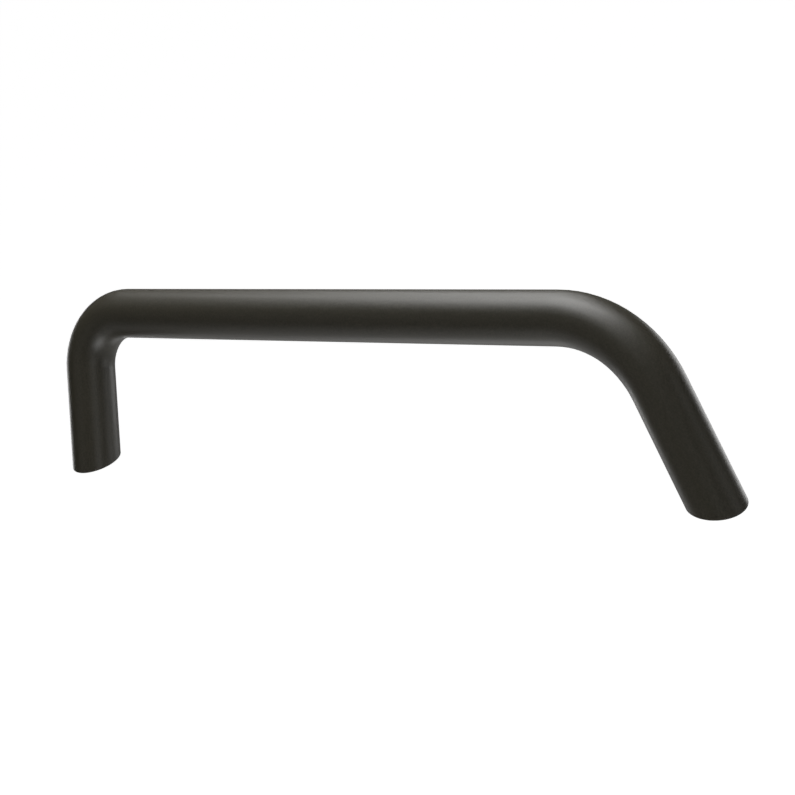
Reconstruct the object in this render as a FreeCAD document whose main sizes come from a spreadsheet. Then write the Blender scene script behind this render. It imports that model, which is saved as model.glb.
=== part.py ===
"""Bed assist rail: a round tube bent into a grip bar on two legs, fixed from behind.

One aluminium tube has a square-looking 95 degree bend at its left leg and an easy
60 degree bend at its right leg. Both legs are cut off on one mounting plane, which the
rail leans away from, so that the hand clears the panel it is screwed to. Each end is
closed by an aluminium plug that carries a steel M8 thread insert, sealed by an O-ring
and held by a slotted spring pin pressed in from the concealed side of the leg.

Frame: millimetres. The mounting plane is Z = 0 and the rail stands on its +Z side. The
origin is midway between the two threaded fixings. +X runs along the bar towards the
slanted leg, and the rail leans towards +Y.
"""

import FreeCAD, Part
import math
import os

import Sketcher
from FreeCAD import Placement, Rotation, Vector

# Alias, millimetres or degrees, meaning.
DIMENSIONS = [
    ("tube_diameter", 32, "outside diameter of the grip tube"),
    ("wall", 3, "tube wall"),
    ("overall_height", 105, "mounting plane to the top of the bar"),
    ("lean", 25, "lean of the rail from the normal of the mounting plane"),
    ("fixing_spacing", 450, "centre distance of the two threaded fixings"),
    ("left_slope", 5, "slope of the left leg, foot towards the right leg"),
    ("right_slope", 30, "slope of the right leg, foot away from the left leg"),
    ("left_bend_radius", 34, "centreline radius of the left bend"),
    ("right_bend_radius", 75, "centreline radius of the right bend"),
    ("trim_length", 25, "raw leg length cut away below the mounting plane"),
    ("edge_break", 0.6, "rounding of the outer cut edges"),
    ("insert_diameter", 12, "outside of the thread insert and its hole"),
    ("insert_length", 15, "length of the thread insert"),
    ("insert_hole_depth", 18, "depth of the blind hole for the insert"),
    ("insert_hole_chamfer", 0.5, "chamfer at the mouth of the insert's hole"),
    ("insert_bore", 6.8, "bore of the M8 thread"),
    ("insert_chamfer", 0.6, "chamfer at both mouths of the insert's bore"),
    ("cutting_bore", 2.4, "cross bores that cut the insert's own thread"),
    ("cutting_bore_height", 11, "height of the cross bores above the mounting plane"),
    ("plug_top", 30, "end of the plug, along the leg from the crossing point"),
    ("plug_chamfer", 1.5, "lead-in chamfer of the plug"),
    ("pin_height", 18, "spring pin, along the leg from the crossing point"),
    ("pin_diameter", 5, "outside of the spring pin and its hole"),
    ("pin_wall", 1, "wall of the spring pin"),
    ("pin_slot", 1.2, "slot along the spring pin"),
    ("pin_start", 1.2, "inner end of the pin, from the centre of the leg"),
    ("pin_length", 14, "length of the spring pin"),
    ("pin_chamfer", 0.4, "chamfer at both ends of the spring pin"),
    ("seal_height", 25, "middle of the O-ring, along the leg from the crossing point"),
    ("groove_depth", 1.6, "depth of the O-ring groove"),
    ("groove_width", 2.8, "width of the O-ring groove"),
    ("seal_width", 2.4, "width of the O-ring as squeezed in its groove"),
    ("seal_rounding", 0.6, "corner rounding of the squeezed O-ring"),
]
SHEET = "dimensions"
STAMP_SIZE = 1200  # side of the squares that cut the raw legs off
CUTTING_BORES = 3
TOLERANCE = 1e-6  # slack when volumes, lengths and heights are compared
TOUCHING = 1e-3  # an edge this near the mounting plane lies on it


def fill_sheet(doc):
    """The spreadsheet of driving dimensions."""
    sheet = doc.addObject("Spreadsheet::Sheet", SHEET)
    for row, (alias, value, meaning) in enumerate(DIMENSIONS, start=1):
        sheet.set(f"A{row}", meaning)
        sheet.set(f"B{row}", str(value))
        sheet.setAlias(f"B{row}", alias)
    doc.recompute()
    return sheet


def bind(obj, **formulas):
    """Binds properties to the sheet; in a formula every alias is written as $alias."""
    for prop, formula in formulas.items():
        obj.setExpression(prop.replace("__", "."), formula.replace("$", f"{SHEET}."))


def new_body(doc, label, placement):
    body = doc.addObject("PartDesign::Body", label)
    body.Label = label
    body.Placement = placement
    return body


def new_sketch(body, role, name, offset=None):
    """A sketch on one of the body's own origin planes, moved by offset in that plane's frame."""
    plane = next(p for p in body.Origin.OriginFeatures if p.Role == role)
    sketch = body.newObject("Sketcher::SketchObject", name)
    sketch.AttachmentSupport = [(plane, "")]
    sketch.MapMode = "FlatFace"
    if offset is not None:
        sketch.AttachmentOffset = offset
    return sketch


def constrain(sketch, name, formula, *constraint):
    """A named dimensional constraint bound to the sheet."""
    index = sketch.addConstraint(Sketcher.Constraint(*constraint))
    sketch.renameConstraint(index, name)
    sketch.setExpression(f"Constraints.{name}", formula.replace("$", f"{SHEET}."))


def circle(sketch, name, formula, radius, at=(0, 0), at_formula=None):
    """A circle on the sketch's vertical axis, with its diameter bound to the sheet."""
    centre = Vector(at[0], at[1], 0)
    index = sketch.addGeometry(Part.Circle(centre, Vector(0, 0, 1), radius), False)
    constrain(sketch, f"{name}_diameter", formula, "Diameter", index, 2 * radius)
    if at_formula is None:
        sketch.addConstraint(Sketcher.Constraint("Coincident", index, 3, -1, 1))
    else:
        sketch.addConstraint(Sketcher.Constraint("PointOnObject", index, 3, -2))
        constrain(sketch, f"{name}_height", at_formula, "DistanceY", -1, 1, index, 3, at[1])
    return index


def polygon(sketch, corners):
    """A closed run of lines through named corners [(name, x, x_formula, y, y_formula)], each
    corner held by its distances from the sketch's axes."""
    points = [Vector(x, y, 0) for _, x, _, y, _ in corners]
    for start, end in zip(points, points[1:] + points[:1]):
        sketch.addGeometry(Part.LineSegment(start, end), False)
    for i in range(len(corners)):
        following = (i + 1) % len(corners)
        sketch.addConstraint(Sketcher.Constraint("Coincident", i, 2, following, 1))
    for i, (name, x, x_formula, y, y_formula) in enumerate(corners):
        constrain(sketch, f"{name}_x", x_formula, "DistanceX", -1, 1, i, 1, x)
        constrain(sketch, f"{name}_y", y_formula, "DistanceY", -1, 1, i, 1, y)


def feature(body, kind, name, sketch, **settings):
    made = body.newObject(f"PartDesign::{kind}", name)
    made.Profile = sketch
    for prop, value in settings.items():
        setattr(made, prop, value)
    sketch.Visibility = False
    return made


def revolve(body, name, sketch):
    """A full turn of the sketch about its own vertical axis."""
    made = feature(body, "Revolution", name, sketch)
    made.ReferenceAxis = (sketch, ["V_Axis"])
    made.Angle = 360
    return made


def cut(doc, body, kind, name, sketch, **settings):
    """A pocket that has to take material away."""
    doc.recompute()
    before = body.Shape.Volume
    made = feature(body, kind, name, sketch, **settings)
    doc.recompute()
    if not body.Shape.Volume < before - TOLERANCE:
        raise RuntimeError(f"{body.Label}.{name} cuts nothing")
    return made


class Rail:
    """Places and angles worked out from the sheet."""

    def __init__(self, sheet):
        for alias, _, _ in DIMENSIONS:
            setattr(self, alias, float(sheet.get(alias)))
        self.radius = self.tube_diameter / 2
        self.bore_radius = self.radius - self.wall
        self.tangent = math.tan(math.radians(self.lean))
        self.cosine = math.cos(math.radians(self.lean))
        # A fixing's axis crosses its leg's axis halfway down the insert's hole.
        self.crossing_depth = self.insert_hole_depth / 2
        self.tilt = Rotation(Vector(1, 0, 0), -self.lean)
        self.plane = Placement(Vector(0, -self.crossing_depth * self.tangent, 0), self.tilt)

    def leg(self, side):
        """Frame of a leg: its origin where fixing and leg cross, +Z up the leg, and +Y
        towards the concealed side."""
        slope = -self.left_slope if side == "left" else -self.right_slope
        turn = Rotation(Vector(0, 1, 0), slope)
        return Placement(self.fixing(side) + Vector(0, 0, self.crossing_depth), self.tilt * turn)

    def fixing(self, side):
        """Middle of a fixing on the mounting plane."""
        return Vector(self.fixing_spacing / (-2 if side == "left" else 2), 0, 0)


def sketch_mounting_plane(body, name):
    """A sketch on the mounting plane, with its origin under the body's own origin."""
    below = Vector(body.Placement.Base.x, body.Placement.Base.y, 0)
    offset = body.Placement.inverse() * Placement(below, Rotation())
    return new_sketch(body, "XY_Plane", name, offset)


def trim_at_mounting_plane(doc, body):
    """Cuts off everything below the mounting plane."""
    stamp = sketch_mounting_plane(body, "trim_sketch")
    half = STAMP_SIZE / 2
    corners = [Vector(-half, -half), Vector(half, -half), Vector(half, half), Vector(-half, half)]
    for start, end in zip(corners, corners[1:] + corners[:1]):
        stamp.addGeometry(Part.LineSegment(start, end), False)
    return cut(doc, body, "Pocket", "trim", stamp, Type="ThroughAll")


def draw_path(sketch, rail):
    """Centreline of the rail: left leg, bend, bar, bend, right leg, in the rail's plane."""
    bar = (rail.overall_height - rail.radius) / rail.cosine
    cross = rail.crossing_depth / rail.cosine
    foot = -rail.trim_length
    half = rail.fixing_spacing / 2
    left, right = math.radians(rail.left_slope), math.radians(rail.right_slope)

    def on_leg(side, height):
        if side == "left":
            return -half - (height - cross) * math.tan(left)
        return half - (height - cross) * math.tan(right)

    left_bend, right_bend = rail.left_bend_radius, rail.right_bend_radius
    left_centre = Vector(
        on_leg("left", bar - left_bend) + left_bend / math.cos(left), bar - left_bend
    )
    right_centre = Vector(
        on_leg("right", bar - right_bend) - right_bend / math.cos(right), bar - right_bend
    )
    up, left_out = Vector(0, 1), Vector(-math.cos(left), -math.sin(left))
    right_out = Vector(math.cos(right), math.sin(right))
    left_top = left_centre + left_out * left_bend
    right_top = right_centre + right_out * right_bend
    bar_start, bar_end = left_centre + up * left_bend, right_centre + up * right_bend
    normal = Vector(0, 0, 1)
    quarter = math.pi / 2
    left_leg, left_arc, grip, right_arc, right_leg = sketch.addGeometry(
        [
            Part.LineSegment(Vector(on_leg("left", foot), foot), left_top),
            Part.ArcOfCircle(
                Part.Circle(left_centre, normal, left_bend), quarter, math.pi + left
            ),
            Part.LineSegment(bar_start, bar_end),
            Part.ArcOfCircle(Part.Circle(right_centre, normal, right_bend), right, quarter),
            Part.LineSegment(right_top, Vector(on_leg("right", foot), foot)),
        ],
        False,
    )
    for joint in (
        (left_leg, 2, left_arc, 2),
        (left_arc, 1, grip, 1),
        (grip, 2, right_arc, 2),
        (right_arc, 1, right_leg, 1),
    ):
        sketch.addConstraint(Sketcher.Constraint("Tangent", *joint))
    sketch.addConstraint(Sketcher.Constraint("Horizontal", grip))
    constrain(sketch, "left_radius", "$left_bend_radius", "Radius", left_arc, left_bend)
    constrain(sketch, "right_radius", "$right_bend_radius", "Radius", right_arc, right_bend)
    bar_height = "($overall_height - $tube_diameter / 2) / cos($lean * 1 deg)"
    constrain(sketch, "bar_height", bar_height, "DistanceY", -1, 1, grip, 1, bar)
    for side, line, angle, formula, end in (
        ("left", left_leg, quarter + left, "(90 + $left_slope) * 1 deg", 1),
        ("right", right_leg, right - quarter, "($right_slope - 90) * 1 deg", 2),
    ):
        constrain(sketch, f"{side}_angle", formula, "Angle", line, angle)
        constrain(sketch, f"{side}_foot", "-$trim_length", "DistanceY", -1, 1, line, end, foot)
        sign = -1 if side == "left" else 1
        point = sketch.addGeometry(Part.Point(Vector(sign * half, cross)), True)
        x_formula = f"{sign} * $fixing_spacing / 2"
        y_formula = "$insert_hole_depth / 2 / cos($lean * 1 deg)"
        constrain(sketch, f"{side}_x", x_formula, "DistanceX", -1, 1, point, 1, sign * half)
        constrain(sketch, f"{side}_y", y_formula, "DistanceY", -1, 1, point, 1, cross)
        sketch.addConstraint(Sketcher.Constraint("PointOnObject", point, 1, line))


def cut_pin_hole(doc, body, name, position):
    """A blind hole for a spring pin, from the middle plane out to the concealed side."""
    hole = new_sketch(body, "XZ_Plane", f"{name}_sketch", Placement(position, Rotation()))
    radius = float(doc.getObject(SHEET).get("pin_diameter")) / 2
    circle(hole, "pin", "$pin_diameter", radius)
    return cut(doc, body, "Pocket", name, hole, Type="ThroughAll")


def build_tube(doc, rail):
    """The bent, trimmed and deburred grip tube."""
    body = new_body(doc, "rail_tube", rail.plane)
    path = new_sketch(body, "XZ_Plane", "centreline")
    draw_path(path, rail)
    doc.recompute()
    section = body.newObject("Sketcher::SketchObject", "section")
    section.AttachmentSupport = [(path, "Edge1")]
    section.MapMode = "NormalToEdge"
    circle(section, "outside", "$tube_diameter", rail.radius)
    circle(section, "inside", "$tube_diameter - 2 * $wall", rail.bore_radius)
    doc.recompute()
    pipe = feature(body, "AdditivePipe", "bent_tube", section)
    pipe.Spine = path
    doc.recompute()
    trim_at_mounting_plane(doc, body)
    for side in ("left", "right"):
        in_plane = rail.plane.inverse().multVec(pin_centre(rail, side))
        cut_pin_hole(doc, body, f"{side}_pin_hole", Vector(in_plane.x, in_plane.z, 0))
    break_cut_edges(doc, body, rail)
    return body


def pin_centre(rail, side):
    """Where a spring pin's axis meets the axis of its leg."""
    return rail.leg(side).multVec(Vector(0, 0, rail.pin_height))


def break_cut_edges(doc, body, rail):
    """Rounds the outer edge of each cut end."""
    outer = []
    mouth = math.pi * rail.tube_diameter
    for number, edge in enumerate(body.Tip.Shape.Edges, start=1):
        placed = edge.copy()
        placed.Placement = rail.plane * placed.Placement
        box = placed.BoundBox
        if box.ZMax < TOUCHING and edge.Length > mouth:
            outer.append(f"Edge{number}")
    if len(outer) != 2:
        raise RuntimeError(f"expected two outer cut edges, found {outer}")
    rounding = body.newObject("PartDesign::Fillet", "edge_rounding")
    rounding.Base = (body.Group[-2], outer)
    bind(rounding, Radius="$edge_break")
    doc.recompute()


def build_plug(doc, rail, side):
    """The plug that closes a leg: turned blank, cut flush, bored for its insert and pin."""
    body = new_body(doc, f"{side}_end_plug", rail.leg(side))
    blank = new_sketch(body, "XZ_Plane", "blank_sketch")
    r, top = rail.bore_radius, rail.plug_top
    groove = r - rail.groove_depth
    low, high = rail.seal_height - rail.groove_width / 2, rail.seal_height + rail.groove_width / 2
    full = "$tube_diameter / 2 - $wall"
    groove_r = f"{full} - $groove_depth"
    low_z = "$seal_height - $groove_width / 2"
    high_z = "$seal_height + $groove_width / 2"
    end, end_z = rail.plug_chamfer, "$plug_top - $plug_chamfer"
    polygon(
        blank,
        [
            ("foot_axis", 0, "0", -rail.trim_length, "-$trim_length"),
            ("foot_rim", r, full, -rail.trim_length, "-$trim_length"),
            ("groove_low_rim", r, full, low, low_z),
            ("groove_low", groove, groove_r, low, low_z),
            ("groove_high", groove, groove_r, high, high_z),
            ("groove_high_rim", r, full, high, high_z),
            ("chamfer_rim", r, full, top - end, end_z),
            ("chamfer_top", r - end, f"{full} - $plug_chamfer", top, "$plug_top"),
            ("top_axis", 0, "0", top, "$plug_top"),
        ],
    )
    doc.recompute()
    revolve(body, "blank", blank)
    trim_at_mounting_plane(doc, body)
    hole = sketch_mounting_plane(body, "insert_hole_sketch")
    circle(hole, "insert", "$insert_diameter", rail.insert_diameter / 2)
    bore = cut(doc, body, "Pocket", "insert_hole", hole, Reversed=True, Length=rail.insert_hole_depth)
    bind(bore, Length="$insert_hole_depth")
    doc.recompute()
    lead_in = body.newObject("PartDesign::Chamfer", "insert_hole_chamfer")
    lead_in.Base = (bore, mouth_of_insert_hole(bore, rail, body.Placement))
    bind(lead_in, Size="$insert_hole_chamfer")
    doc.recompute()
    cut_pin_hole(doc, body, "pin_hole", Vector(0, rail.pin_height, 0))
    return body


def mouth_of_insert_hole(bore, rail, placement):
    """The hole's edge on the mounting plane."""
    names = []
    for number, edge in enumerate(bore.Shape.Edges, start=1):
        round_edge = edge.isClosed() and hasattr(edge.Curve, "Radius")
        if not round_edge or abs(edge.Curve.Radius - rail.insert_diameter / 2) > TOLERANCE:
            continue
        if abs(placement.multVec(edge.Curve.Center).z) < TOLERANCE:
            names.append(f"Edge{number}")
    if len(names) != 1:
        raise RuntimeError(f"expected one mouth, found {names}")
    return names


def build_insert(doc, rail, side):
    """The steel thread insert, square to the mounting plane and flush with it."""
    body = new_body(doc, f"{side}_thread_insert", Placement(rail.fixing(side), Rotation()))
    profile = new_sketch(body, "XZ_Plane", "profile")
    inner, outer = rail.insert_bore / 2, rail.insert_diameter / 2
    length, bevel = rail.insert_length, rail.insert_chamfer
    polygon(
        profile,
        [
            ("mouth_inner", inner + bevel, "$insert_bore / 2 + $insert_chamfer", 0, "0"),
            ("mouth_outer", outer, "$insert_diameter / 2", 0, "0"),
            (
                "end_rim",
                outer,
                "$insert_diameter / 2",
                length - bevel,
                "$insert_length - $insert_chamfer",
            ),
            (
                "end_outer",
                outer - bevel,
                "$insert_diameter / 2 - $insert_chamfer",
                length,
                "$insert_length",
            ),
            ("end_inner", inner, "$insert_bore / 2", length, "$insert_length"),
            ("bore_start", inner, "$insert_bore / 2", bevel, "$insert_chamfer"),
        ],
    )
    doc.recompute()
    revolve(body, "turned_insert", profile)
    cross = new_sketch(body, "XZ_Plane", "cutting_bore_sketch")
    height = rail.cutting_bore_height
    circle(
        cross,
        "cutting_bore",
        "$cutting_bore",
        rail.cutting_bore / 2,
        at=(0, height),
        at_formula="$cutting_bore_height",
    )
    bore = cut(doc, body, "Pocket", "cutting_bore", cross, Type="ThroughAll")
    pattern = body.newObject("PartDesign::PolarPattern", "cutting_bores")
    pattern.Originals = [bore]
    pattern.Axis = (profile, ["V_Axis"])
    pattern.Angle = 360
    pattern.Occurrences = CUTTING_BORES
    body.Tip = pattern
    doc.recompute()
    return body


def build_seal(doc, rail, side):
    """The O-ring, as squeezed between its groove and the tube."""
    body = new_body(doc, f"{side}_plug_seal", rail.leg(side))
    profile = new_sketch(body, "XZ_Plane", "profile")
    outer = rail.bore_radius
    inner = outer - rail.groove_depth
    low, high = rail.seal_height - rail.seal_width / 2, rail.seal_height + rail.seal_width / 2
    outer_x = "$tube_diameter / 2 - $wall"
    inner_x = f"{outer_x} - $groove_depth"
    low_z, high_z = "$seal_height - $seal_width / 2", "$seal_height + $seal_width / 2"
    polygon(
        profile,
        [
            ("low_inner", inner, inner_x, low, low_z),
            ("low_outer", outer, outer_x, low, low_z),
            ("high_outer", outer, outer_x, high, high_z),
            ("high_inner", inner, inner_x, high, high_z),
        ],
    )
    doc.recompute()
    ring = revolve(body, "ring", profile)
    doc.recompute()
    rounding = body.newObject("PartDesign::Fillet", "rounding")
    rounding.Base = (ring, [f"Edge{n}" for n, e in enumerate(ring.Shape.Edges, 1) if e.isClosed()])
    bind(rounding, Radius="$seal_rounding")
    doc.recompute()
    return body


def build_pin(doc, rail, side):
    """The slotted spring pin that locks a plug in its leg."""
    leg = rail.leg(side)
    body = new_body(doc, f"{side}_retaining_pin", Placement(pin_centre(rail, side), leg.Rotation))
    profile = new_sketch(
        body, "XZ_Plane", "profile", Placement(Vector(0, 0, -rail.pin_start), Rotation())
    )
    bind(profile, AttachmentOffset__Base__z="-$pin_start")
    outer = rail.pin_diameter / 2
    circle(profile, "outside", "$pin_diameter", outer)
    circle(profile, "inside", "$pin_diameter - 2 * $pin_wall", outer - rail.pin_wall)
    sleeve = feature(body, "Pad", "sleeve", profile, Length=rail.pin_length, Reversed=True)
    bind(sleeve, Length="$pin_length")
    doc.recompute()
    ends = [
        f"Edge{n}"
        for n, edge in enumerate(sleeve.Shape.Edges, 1)
        if edge.isClosed() and abs(edge.Curve.Radius - outer) < TOLERANCE
    ]
    bevel = body.newObject("PartDesign::Chamfer", "end_chamfers")
    bevel.Base = (sleeve, ends)
    bind(bevel, Size="$pin_chamfer")
    slot = new_sketch(body, "XZ_Plane", "slot_sketch")
    half, reach = rail.pin_slot / 2, rail.pin_diameter
    polygon(
        slot,
        [
            ("slot_low_start", -half, "-$pin_slot / 2", 0, "0"),
            ("slot_low_end", half, "$pin_slot / 2", 0, "0"),
            ("slot_high_end", half, "$pin_slot / 2", reach, "$pin_diameter"),
            ("slot_high_start", -half, "-$pin_slot / 2", reach, "$pin_diameter"),
        ],
    )
    cut(doc, body, "Pocket", "slot", slot, Type="ThroughAll")
    return body


def check(doc, bodies):
    """Stops before anything is written if a feature failed or a shape isn't one sound solid."""
    for obj in doc.Objects:
        if "Invalid" in obj.State or "Error" in obj.State:
            raise RuntimeError(f"{obj.Label} failed: {obj.State}")
    for body in bodies:
        shape = body.Shape
        if shape.isNull() or not shape.isValid() or len(shape.Solids) != 1:
            raise RuntimeError(f"{body.Label} is not one valid solid")


def main():
    doc = FreeCAD.newDocument("bed_assist_rail")
    rail = Rail(fill_sheet(doc))
    bodies = [build_tube(doc, rail)]
    for side in ("left", "right"):
        for build in (build_plug, build_insert, build_seal, build_pin):
            bodies.append(build(doc, rail, side))
    doc.recompute()
    check(doc, bodies)
    os.makedirs("parts", exist_ok=True)
    for body in bodies:
        body.Shape.exportStep(f"parts/{body.Label}.step")
        print(f"{body.Label}: {body.Shape.Volume:.1f} mm3")


main()
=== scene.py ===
"""Looks of the bed assist rail: powder coat, machined ends, real threads, and the studio."""

import math

import bmesh
import bpy
from mathutils import Matrix, Quaternion, Vector


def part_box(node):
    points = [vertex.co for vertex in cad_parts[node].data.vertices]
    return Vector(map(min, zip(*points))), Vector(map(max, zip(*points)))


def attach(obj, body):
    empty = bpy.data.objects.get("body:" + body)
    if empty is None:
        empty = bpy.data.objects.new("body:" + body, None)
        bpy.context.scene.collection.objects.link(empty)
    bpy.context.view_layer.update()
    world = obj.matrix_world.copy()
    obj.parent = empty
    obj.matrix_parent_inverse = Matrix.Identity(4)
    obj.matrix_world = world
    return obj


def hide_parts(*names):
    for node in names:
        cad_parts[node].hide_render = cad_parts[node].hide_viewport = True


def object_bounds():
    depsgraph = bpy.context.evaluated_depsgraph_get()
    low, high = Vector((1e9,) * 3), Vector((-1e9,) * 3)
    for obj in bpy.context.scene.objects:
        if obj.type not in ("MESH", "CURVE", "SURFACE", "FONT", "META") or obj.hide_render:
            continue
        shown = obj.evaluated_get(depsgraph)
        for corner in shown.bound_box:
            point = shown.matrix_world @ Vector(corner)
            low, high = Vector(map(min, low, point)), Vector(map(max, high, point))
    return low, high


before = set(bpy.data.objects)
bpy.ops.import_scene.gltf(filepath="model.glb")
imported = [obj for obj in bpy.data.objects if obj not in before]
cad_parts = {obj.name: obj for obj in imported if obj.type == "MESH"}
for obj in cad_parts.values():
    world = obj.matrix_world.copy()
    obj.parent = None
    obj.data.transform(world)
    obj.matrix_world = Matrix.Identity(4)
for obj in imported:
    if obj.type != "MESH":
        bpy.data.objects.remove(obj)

MM = 0.001
CAD_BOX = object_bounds()
SIDES = ("left", "right")

# Thread insert for M8: coarse pitch, flattened crests and roots, and flanks at about 70
# degrees to each other. The flats are fractions of the pitch.
THREAD_PITCH = 1.25 * MM
THREAD_CREST = 3.4 * MM
THREAD_ROOT = 4.0 * MM
CREST_FLAT = 0.2
ROOT_FLAT = 0.12
ROWS_A_TURN = 16
POINTS_ROUND = 72
MOUTH_BEVEL = 0.6 * MM
END_BEVEL = 0.6 * MM
RIM_BREAK = 0.15 * MM
CROSS_BORE_RADIUS = 1.2 * MM
CROSS_BORE_HEIGHT = 11 * MM
CROSS_BORES = 3
CROSS_BORE_SIDES = 24
SHARP_ANGLE = math.radians(25)

# Sizes of the patterns in the materials.
COAT_GRAIN = 1.1 * MM
COAT_PEEL = 6 * MM
COAT_GRAIN_DEPTH = 0.06 * MM
COAT_PEEL_DEPTH = 0.3 * MM
METAL_STAIN = 9 * MM
METAL_MARK_DEPTH = 0.05 * MM
MILLING_SPACING = 0.5 * MM
TURNING_SPACING = 0.4 * MM
RUBBER_BLOOM = 3 * MM
# A wave texture of scale 1 repeats every 2 pi / 20 metres.
WAVE_BANDS = 20

# Camera: where it stands, how it is tipped, and what it looks at beside the box's centre.
VIEW_AZIMUTH = math.radians(39.03)
VIEW_ELEVATION = math.radians(22.69)
VIEW_ROLL = math.radians(15.07)
VIEW_DISTANCE = 1.193
AIM_OFFSET = Vector((14.8, 6.6, -10.0)) * MM
LENS_MM = 90.64
SENSOR_MM = 36

FLOOR_DROP = 1.5
FLOOR_SIZE = 40.0
FLOOR_SEEN_GLOW = 1.0
# Light that the surround sends up, as a pale floor would: full from this steeply below.
FLOOR_GLOW = 0.5
FLOOR_GLOW_FULL = -0.8
SWEEP_WHITE = 1.05

# Studio: square softboxes around the rail. Each has its direction from the rail, its
# distance and side in metres, and its watts.
LIT_POINT = Vector((0.0, 0.02, 0.06))
SOFTBOXES = {
    "key_overhead": ((-0.20, 0.10, 0.975), 1.1, 0.7, 9.2),
    "overhead_left": ((-0.45, 0.40, 0.798), 1.1, 0.6, 2.7),
    "overhead_back": ((0.05, 0.40, 0.915), 1.1, 0.6, 2.7),
    "overhead_front": ((-0.28, -0.26, 0.925), 1.2, 0.6, 2.4),
    "high_back": ((-0.36, 0.69, 0.625), 1.2, 0.6, 2.4),
    "front_right": ((0.75, -0.63, 0.180), 1.2, 0.6, 1.4),
    "front_left": ((-0.55, -0.79, 0.275), 1.2, 0.6, 0.2),
    "right": ((0.92, 0.20, 0.325), 1.2, 0.6, 0.6),
    "low_right": ((0.86, 0.40, -0.325), 1.2, 0.6, 1.5),
    "low_left": ((-0.92, 0.29, -0.275), 1.2, 0.6, 3.0),
    "low_back": ((0.22, 0.96, -0.175), 1.2, 0.6, 3.0),
    "low_front": ((0.13, -0.77, -0.625), 1.2, 0.6, 4.4),
    "underneath": ((-0.38, 0.04, -0.925), 1.2, 0.6, 1.0),
}


def linear(code):
    """sRGB hex colour as linear RGBA."""
    channels = [int(code[i : i + 2], 16) / 255 for i in (1, 3, 5)]
    light = [c / 12.92 if c <= 0.04045 else ((c + 0.055) / 1.055) ** 2.4 for c in channels]
    return light + [1]


def material(name):
    """A new node material, with its tree and its shader."""
    made = bpy.data.materials.new(name)
    made.use_nodes = True
    return made, made.node_tree, made.node_tree.nodes["Principled BSDF"]


def node(tree, kind, settings=None, **links):
    """Adds a node. A setting or link named like an input sets or feeds it; others are
    attributes."""
    made = tree.nodes.new(kind)
    for key, value in (settings or {}).items():
        if key in made.inputs:
            made.inputs[key].default_value = value
        else:
            setattr(made, key, value)
    for key, source in links.items():
        tree.links.new(source, made.inputs[key.replace("_", " ")])
    return made


def paint(piece, finish):
    """Gives every material slot of a piece the finish."""
    if not piece.material_slots:
        piece.data.materials.append(finish)
    for place in piece.material_slots:
        place.material = finish


def polyester_powder_coat():
    """Polyester powder coat, sprayed and oven cured on the bent tube: a warm anthracite
    satin with a fine sand texture that breaks up the highlight."""
    made, tree, shader = material("polyester_powder_coat")
    place = node(tree, "ShaderNodeTexCoord").outputs["Object"]
    # The texture's grains are about 0.4 mm across, drawn as 1.1 mm so that they show.
    grain = node(
        tree, "ShaderNodeTexNoise", {"Scale": 1 / COAT_GRAIN, "Detail": 3, "Roughness": 0.6},
        Vector=place,
    )
    # Orange peel left by the flow of the powder, about 6 mm from crest to crest.
    peel = node(
        tree, "ShaderNodeTexNoise", {"Scale": 1 / COAT_PEEL, "Detail": 1}, Vector=place
    )
    colour = node(tree, "ShaderNodeValToRGB", None, Fac=grain.outputs["Fac"])
    colour.color_ramp.elements[0].position = 0.3
    colour.color_ramp.elements[0].color = linear("#302E26")
    colour.color_ramp.elements[1].position = 0.7
    colour.color_ramp.elements[1].color = linear("#3D3A31")
    tree.links.new(colour.outputs["Color"], shader.inputs["Base Color"])
    roughness = node(
        tree,
        "ShaderNodeMapRange",
        {"From Min": 0.3, "From Max": 0.7, "To Min": 0.36, "To Max": 0.44},
        Value=grain.outputs["Fac"],
    )
    tree.links.new(roughness.outputs["Result"], shader.inputs["Roughness"])
    wave = node(
        tree,
        "ShaderNodeBump",
        {"Strength": 0.15, "Distance": COAT_PEEL_DEPTH},
        Height=peel.outputs["Fac"],
    )
    bump = node(
        tree,
        "ShaderNodeBump",
        {"Strength": 0.22, "Distance": COAT_GRAIN_DEPTH},
        Height=grain.outputs["Fac"],
        Normal=wave.outputs["Normal"],
    )
    tree.links.new(bump.outputs["Normal"], shader.inputs["Normal"])
    shader.inputs["IOR"].default_value = 1.5
    return made


def metal(name, colour, roughness, spacing, bands):
    """Bare metal with tool marks, running as the wave texture's bands say. Marks at the
    given spacing would be too fine to see, so they are drawn 2 pi times as far apart."""
    made, tree, shader = material(name)
    place = node(tree, "ShaderNodeTexCoord").outputs["Object"]
    marks = node(
        tree,
        "ShaderNodeTexWave",
        {
            "Scale": 1 / (WAVE_BANDS * spacing),
            "Distortion": 0.6,
            "Detail": 2,
            "Detail Scale": 3,
            "bands_direction": bands,
        },
        Vector=place,
    )
    stain = node(tree, "ShaderNodeTexNoise", {"Scale": 1 / METAL_STAIN, "Detail": 4}, Vector=place)
    shade = node(
        tree,
        "ShaderNodeMapRange",
        {
            "From Min": 0.35,
            "From Max": 0.65,
            "To Min": roughness * 0.85,
            "To Max": roughness * 1.2,
        },
        Value=stain.outputs["Fac"],
    )
    tree.links.new(shade.outputs["Result"], shader.inputs["Roughness"])
    bump = node(
        tree,
        "ShaderNodeBump",
        {"Strength": 0.25, "Distance": METAL_MARK_DEPTH},
        Height=marks.outputs["Fac"],
    )
    tree.links.new(bump.outputs["Normal"], shader.inputs["Normal"])
    shader.inputs["Base Color"].default_value = linear(colour)
    shader.inputs["Metallic"].default_value = 1
    return made


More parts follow.
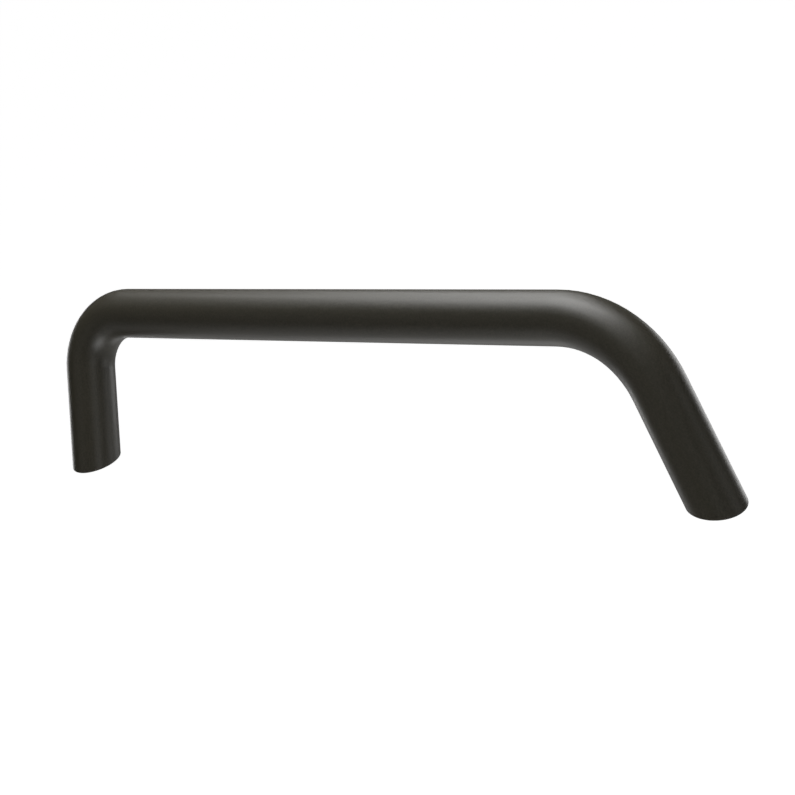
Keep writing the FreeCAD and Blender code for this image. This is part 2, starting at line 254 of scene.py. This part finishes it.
def nitrile_rubber():
    """Moulded black nitrile rubber: matt, with a faint bloom on its skin."""
    made, tree, shader = material("nitrile_rubber")
    place = node(tree, "ShaderNodeTexCoord").outputs["Object"]
    bloom = node(tree, "ShaderNodeTexNoise", {"Scale": 1 / RUBBER_BLOOM, "Detail": 3}, Vector=place)
    shade = node(
        tree,
        "ShaderNodeMapRange",
        {"From Min": 0.3, "From Max": 0.7, "To Min": 0.6, "To Max": 0.8},
        Value=bloom.outputs["Fac"],
    )
    tree.links.new(shade.outputs["Result"], shader.inputs["Roughness"])
    shader.inputs["Base Color"].default_value = linear("#1A1A1A")
    shader.inputs["IOR"].default_value = 1.52
    return made


def pale_floor_paint():
    """Matt white studio floor."""
    made, tree, shader = material("matt_white_floor_paint")
    shader.inputs["Base Color"].default_value = linear("#F4F4F4")
    shader.inputs["Roughness"].default_value = 0.9
    shader.inputs["Emission Color"].default_value = linear("#FFFFFF")
    shader.inputs["Emission Strength"].default_value = FLOOR_SEEN_GLOW
    return made


def lay_floor():
    bpy.ops.mesh.primitive_plane_add(size=FLOOR_SIZE, location=(0, 0, -FLOOR_DROP))
    floor = bpy.context.object
    floor.name = "studio_floor"
    # A backdrop only. Reflections and bounced light get their pale floor from the surround.
    floor.visible_glossy = False
    floor.visible_diffuse = False
    paint(floor, pale_floor_paint())


def view_back():
    """Unit vector from the rail to the camera."""
    return Vector(
        (
            math.sin(VIEW_AZIMUTH) * math.cos(VIEW_ELEVATION),
            -math.cos(VIEW_AZIMUTH) * math.cos(VIEW_ELEVATION),
            math.sin(VIEW_ELEVATION),
        )
    )


def set_camera(centre):
    data = bpy.data.cameras.new("studio_camera")
    data.lens = LENS_MM
    data.sensor_width = SENSOR_MM
    camera = bpy.data.objects.new("studio_camera", data)
    bpy.context.collection.objects.link(camera)
    back = view_back()
    camera.location = centre + AIM_OFFSET + back * VIEW_DISTANCE
    level = (-back).to_track_quat("-Z", "Y")
    camera.rotation_mode = "QUATERNION"
    camera.rotation_quaternion = level @ Quaternion((0, 0, 1), -VIEW_ROLL)
    bpy.context.scene.camera = camera


def softbox(name, direction, distance, side, watts):
    """A square soft light in that direction from the rail, facing it."""
    data = bpy.data.lights.new(name, "AREA")
    data.shape = "SQUARE"
    data.size = side
    data.energy = watts
    light = bpy.data.objects.new(name, data)
    bpy.context.collection.objects.link(light)
    toward = Vector(direction).normalized()
    light.location = LIT_POINT + toward * distance
    light.rotation_mode = "QUATERNION"
    light.rotation_quaternion = (-toward).to_track_quat("-Z", "Y")
    light.visible_camera = False


def set_surround():
    """White all round for the camera. As a light it is a dark room over a pale floor."""
    world = bpy.data.worlds.new("white_sweep")
    bpy.context.scene.world = world
    world.use_nodes = True
    tree = world.node_tree
    tree.nodes.clear()
    toward = node(tree, "ShaderNodeTexCoord").outputs["Generated"]
    height = node(tree, "ShaderNodeSeparateXYZ", None, Vector=toward).outputs["Z"]
    glow = node(
        tree,
        "ShaderNodeMapRange",
        {
            "interpolation_type": "SMOOTHSTEP",
            "From Min": 0.0,
            "From Max": FLOOR_GLOW_FULL,
            "To Min": 0.0,
            "To Max": FLOOR_GLOW,
        },
        Value=height,
    )
    room = node(tree, "ShaderNodeBackground", None, Strength=glow.outputs["Result"])
    white = node(tree, "ShaderNodeBackground", {"Strength": SWEEP_WHITE})
    for shown in (room, white):
        shown.inputs["Color"].default_value = (1, 1, 1, 1)
    seen = node(tree, "ShaderNodeLightPath").outputs["Is Camera Ray"]
    mix = node(tree, "ShaderNodeMixShader")
    tree.links.new(seen, mix.inputs[0])
    tree.links.new(room.outputs[0], mix.inputs[1])
    tree.links.new(white.outputs[0], mix.inputs[2])
    out = node(tree, "ShaderNodeOutputWorld")
    tree.links.new(mix.outputs[0], out.inputs["Surface"])


def thread_radius(turn, height):
    """Wall of the tapped bore: turn round the axis as a fraction, height above the mouth."""
    phase = (height / THREAD_PITCH - turn) % 1
    flank = (1 - CREST_FLAT - ROOT_FLAT) / 2
    climb = min(max((phase - CREST_FLAT) / flank, 0), 1)
    fall = min(max((1 - phase) / flank, 0), 1)
    wall = THREAD_CREST + (THREAD_ROOT - THREAD_CREST) * min(climb, fall)
    return max(wall, THREAD_CREST + MOUTH_BEVEL - height)


def ring_mesh(name, rings):
    """A closed ring of quads from rows of points: each row is a function of the turn that
    gives a radius, with a height."""
    points, faces = [], []
    for radius_at, height in rings:
        for i in range(POINTS_ROUND):
            turn = i / POINTS_ROUND
            radius = radius_at(turn)
            angle = 2 * math.pi * turn
            points.append((radius * math.cos(angle), radius * math.sin(angle), height))
    for row in range(len(rings)):
        above = (row + 1) % len(rings)
        for i in range(POINTS_ROUND):
            j = (i + 1) % POINTS_ROUND
            faces.append(
                (
                    row * POINTS_ROUND + j,
                    row * POINTS_ROUND + i,
                    above * POINTS_ROUND + i,
                    above * POINTS_ROUND + j,
                )
            )
    mesh = bpy.data.meshes.new(name)
    mesh.from_pydata(points, [], faces)
    mesh.validate()
    return mesh


def tap_insert(side, finish):
    """The thread insert with its real thread and cross bores."""
    low, high = (Vector(corner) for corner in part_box(f"{side}_thread_insert"))
    length, outer = high.z - low.z, (high.x - low.x) / 2
    count = round(length / THREAD_PITCH * ROWS_A_TURN)
    rings = []
    for row in range(count + 1):
        height = length * row / count
        rings.append((lambda turn, z=height: thread_radius(turn, z), height))
    for radius, height in (
        (outer - END_BEVEL, length),
        (outer, length - END_BEVEL),
        (outer, RIM_BREAK),
        (outer - RIM_BREAK, 0),
    ):
        rings.append((lambda turn, r=radius: r, height))
    made = bpy.data.objects.new(f"{side}_tapped_insert", ring_mesh(f"{side}_tapped", rings))
    bpy.context.collection.objects.link(made)
    made.location = ((low.x + high.x) / 2, (low.y + high.y) / 2, low.z)
    drill_cross_bores(made, outer)
    made.data.shade_smooth()
    made.data.set_sharp_from_angle(angle=SHARP_ANGLE)
    paint(made, finish)
    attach(made, "root")
    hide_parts(f"{side}_thread_insert")


def drill_cross_bores(insert, reach):
    """Cuts the radial bores whose edges cut the insert's own thread into the plug."""
    shape = bmesh.new()
    for number in range(CROSS_BORES):
        turn = Matrix.Rotation(2 * math.pi * number / CROSS_BORES, 4, "Z")
        out = Matrix.Translation((0, reach / 2 + THREAD_CREST / 2, CROSS_BORE_HEIGHT))
        lay = Matrix.Rotation(math.pi / 2, 4, "X")
        bmesh.ops.create_cone(
            shape,
            cap_ends=True,
            segments=CROSS_BORE_SIDES,
            radius1=CROSS_BORE_RADIUS,
            radius2=CROSS_BORE_RADIUS,
            depth=reach,
            matrix=turn @ out @ lay,
        )
    drill = bpy.data.objects.new("drill", bpy.data.meshes.new("drill"))
    shape.to_mesh(drill.data)
    shape.free()
    bpy.context.collection.objects.link(drill)
    drill.location = insert.location
    cut = insert.modifiers.new("cross_bores", "BOOLEAN")
    cut.object = drill
    cut.operation = "DIFFERENCE"
    cut.solver = "EXACT"
    bpy.context.view_layer.update()
    drilled = insert.evaluated_get(bpy.context.evaluated_depsgraph_get())
    result = bpy.data.meshes.new_from_object(drilled)
    insert.modifiers.clear()
    insert.data = result
    bpy.data.objects.remove(drill)


def finish_pieces():
    coat = polyester_powder_coat()
    cut = metal("milled_aluminium", "#C6C8CA", 0.32, MILLING_SPACING, "Y")
    plated = metal("zinc_plated_steel", "#B9BDC0", 0.3, TURNING_SPACING, "Z")
    spring = metal("stainless_spring_steel", "#A9A9A8", 0.28, TURNING_SPACING, "Y")
    rubber = nitrile_rubber()
    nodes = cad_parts
    paint(nodes["rail_tube"], coat)
    for side in SIDES:
        paint(nodes[f"{side}_end_plug"], cut)
        tap_insert(side, plated)
        paint(nodes[f"{side}_plug_seal"], rubber)
        paint(nodes[f"{side}_retaining_pin"], spring)


finish_pieces()
low, high = CAD_BOX
middle = (Vector(low) + Vector(high)) / 2
set_camera(middle)
lay_floor()
set_surround()
for name, setting in SOFTBOXES.items():
    softbox(f"{name}_softbox", *setting)
bpy.context.scene.view_settings.view_transform = "Standard"
